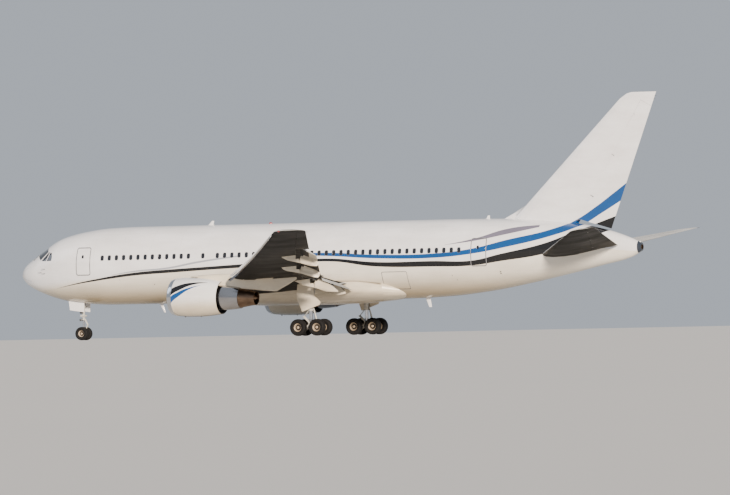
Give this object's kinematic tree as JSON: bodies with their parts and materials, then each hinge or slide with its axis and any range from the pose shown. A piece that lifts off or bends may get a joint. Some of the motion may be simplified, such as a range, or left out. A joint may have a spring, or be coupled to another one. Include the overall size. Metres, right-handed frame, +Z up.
{
  "type": "wide body airliner, 1:2 scale model",
  "caption": "Twin engine wide body airliner on its landing gear with flaps and slats out, hinged control surfaces, turning fans and rolling wheels.",
  "frame": {"origin": "on the ground under the middle of the aircraft: centre of the box in x and y, tyre contact plane in z", "axes": "+X aft from nose to tail, +Y to starboard, +Z up"},
  "size_m": [24.2556, 23.785, 8.14],
  "materials": {
    "paint_white": "gloss white aircraft paint",
    "paint_cream": "gloss warm off-white paint",
    "wing_grey": "satin grey wing paint",
    "bare_metal": "polished leading edges and lips",
    "engine_metal": "heat tinted exhaust metal",
    "fan_titanium": "dark titanium fan blades",
    "gear_steel": "grey painted gear legs",
    "tyre": "black rubber tyres",
    "glass": "dark windscreen glass"
  },
  "bodies": {
    "airframe": {"fuselage": "paint_white", "radome": "paint_white", "tail_cone": "paint_white", "windscreen": "glass", "door_front_right": "paint_white", "door_front_left": "paint_white", "door_rear_right": "paint_white", "door_rear_left": "paint_white", "belly_fairing": "paint_cream", "slat_inboard_right": "bare_metal", "slat_inboard_left": "bare_metal", "slat_outboard_right": "bare_metal", "slat_outboard_left": "bare_metal", "engine_core_right": "engine_metal", "engine_core_left": "engine_metal", "nacelle_right": "paint_white", "nacelle_left": "paint_white", "pylon_right": "paint_cream", "pylon_left": "paint_cream", "wing_right": "wing_grey", "wing_left": "wing_grey", "fin": "paint_white", "stabilizer_right": "wing_grey", "stabilizer_left": "wing_grey", "nose_leg": "gear_steel", "nose_gear_door_right": "paint_white", "nose_gear_door_left": "paint_white", "main_leg_right": "gear_steel", "main_leg_left": "gear_steel", "main_gear_door_right": "paint_cream", "main_gear_door_left": "paint_cream"},
    "nose_fork": {"nose_fork": "gear_steel"},
    "nose_wheels": {"nose_wheels": "tyre"},
    "main_wheels_front_left": {"main_wheels_front_left": "tyre"},
    "main_wheels_rear_left": {"main_wheels_rear_left": "tyre"},
    "fan_left": {"fan_left": "fan_titanium"},
    "main_wheels_front_right": {"main_wheels_front_right": "tyre"},
    "main_wheels_rear_right": {"main_wheels_rear_right": "tyre"},
    "fan_right": {"fan_right": "fan_titanium"},
    "flap_inboard_left": {"flap_inboard_left": "wing_grey"},
    "flap_outboard_left": {"flap_outboard_left": "wing_grey"},
    "aileron_inboard_left": {"aileron_inboard_left": "wing_grey"},
    "aileron_outboard_left": {"aileron_outboard_left": "wing_grey"},
    "elevator_left": {"elevator_left": "wing_grey"},
    "flap_inboard_right": {"flap_inboard_right": "wing_grey"},
    "flap_outboard_right": {"flap_outboard_right": "wing_grey"},
    "aileron_inboard_right": {"aileron_inboard_right": "wing_grey"},
    "aileron_outboard_right": {"aileron_outboard_right": "wing_grey"},
    "elevator_right": {"elevator_right": "wing_grey"},
    "rudder": {"rudder": "paint_white"}
  },
  "joints": [
    {"name": "nose_steering", "type": "hinge", "parent": "airframe", "child": "nose_fork", "pos_m": [-9.82, 0, 0.235], "axis": [0, 0, 1], "range_deg": [-65, 65]},
    {"name": "nose_wheel_spin", "type": "hinge", "parent": "nose_fork", "child": "nose_wheels", "pos_m": [-9.82, 0, 0.235], "axis": [0, 1, 0], "continuous": true},
    {"name": "main_wheels_front_left_spin", "type": "hinge", "parent": "airframe", "child": "main_wheels_front_left", "pos_m": [-0.3375, -2.325, 0.2925], "axis": [0, 1, 0], "continuous": true},
    {"name": "main_wheels_rear_left_spin", "type": "hinge", "parent": "airframe", "child": "main_wheels_rear_left", "pos_m": [0.3725, -2.325, 0.2925], "axis": [0, 1, 0], "continuous": true},
    {"name": "fan_left_spin", "type": "hinge", "parent": "airframe", "child": "fan_left", "pos_m": [-3.92752, -3.965, 1.4186], "axis": [-0.9996, 0, 0.0279], "continuous": true},
    {"name": "main_wheels_front_right_spin", "type": "hinge", "parent": "airframe", "child": "main_wheels_front_right", "pos_m": [-0.3375, 2.325, 0.2925], "axis": [0, 1, 0], "continuous": true},
    {"name": "main_wheels_rear_right_spin", "type": "hinge", "parent": "airframe", "child": "main_wheels_rear_right", "pos_m": [0.3725, 2.325, 0.2925], "axis": [0, 1, 0], "continuous": true},
    {"name": "fan_right_spin", "type": "hinge", "parent": "airframe", "child": "fan_right", "pos_m": [-3.92752, 3.965, 1.4186], "axis": [0.9996, 0, -0.0279], "continuous": true},
    {"name": "flap_inboard_left_hinge", "type": "hinge", "parent": "airframe", "child": "flap_inboard_left", "pos_m": [0.53199, -1.48, 1.49424], "axis": [-0.0698, 0.9893, -0.128], "range_deg": [-24, 6]},
    {"name": "flap_outboard_left_hinge", "type": "hinge", "parent": "airframe", "child": "flap_outboard_left", "pos_m": [0.79859, -4.675, 1.9479], "axis": [-0.4055, 0.9002, -0.1586], "range_deg": [-24, 6]},
    {"name": "aileron_inboard_left_hinge", "type": "hinge", "parent": "airframe", "child": "aileron_inboard_left", "pos_m": [0.33456, -3.6, 2.09473], "axis": [-0.2557, 0.9584, -0.1271], "range_deg": [-20, 20]},
    {"name": "aileron_outboard_left_hinge", "type": "hinge", "parent": "airframe", "child": "aileron_outboard_left", "pos_m": [2.69731, -9.275, 3.02605], "axis": [-0.4279, 0.885, -0.1834], "range_deg": [-20, 20]},
    {"name": "elevator_left_hinge", "type": "hinge", "parent": "airframe", "child": "elevator_left", "pos_m": [9.97695, -0.74, 2.8405], "axis": [-0.3473, 0.9261, -0.1476], "range_deg": [-28, 20]},
    {"name": "flap_inboard_right_hinge", "type": "hinge", "parent": "airframe", "child": "flap_inboard_right", "pos_m": [0.53199, 1.48, 1.49424], "axis": [0.0698, 0.9893, 0.128], "range_deg": [-24, 6]},
    {"name": "flap_outboard_right_hinge", "type": "hinge", "parent": "airframe", "child": "flap_outboard_right", "pos_m": [0.79859, 4.675, 1.9479], "axis": [0.4055, 0.9002, 0.1586], "range_deg": [-24, 6]},
    {"name": "aileron_inboard_right_hinge", "type": "hinge", "parent": "airframe", "child": "aileron_inboard_right", "pos_m": [0.33456, 3.6, 2.09473], "axis": [0.2557, 0.9584, 0.1271], "range_deg": [-20, 20]},
    {"name": "aileron_outboard_right_hinge", "type": "hinge", "parent": "airframe", "child": "aileron_outboard_right", "pos_m": [2.69731, 9.275, 3.02605], "axis": [0.4279, 0.885, 0.1834], "range_deg": [-20, 20]},
    {"name": "elevator_right_hinge", "type": "hinge", "parent": "airframe", "child": "elevator_right", "pos_m": [9.97695, 0.74, 2.8405], "axis": [0.3473, 0.9261, 0.1476], "range_deg": [-28, 20]},
    {"name": "rudder_hinge", "type": "hinge", "parent": "airframe", "child": "rudder", "pos_m": [9.25632, 0, 3.875], "axis": [0.5049, 0, 0.8632], "range_deg": [-25, 25]}
  ]
}
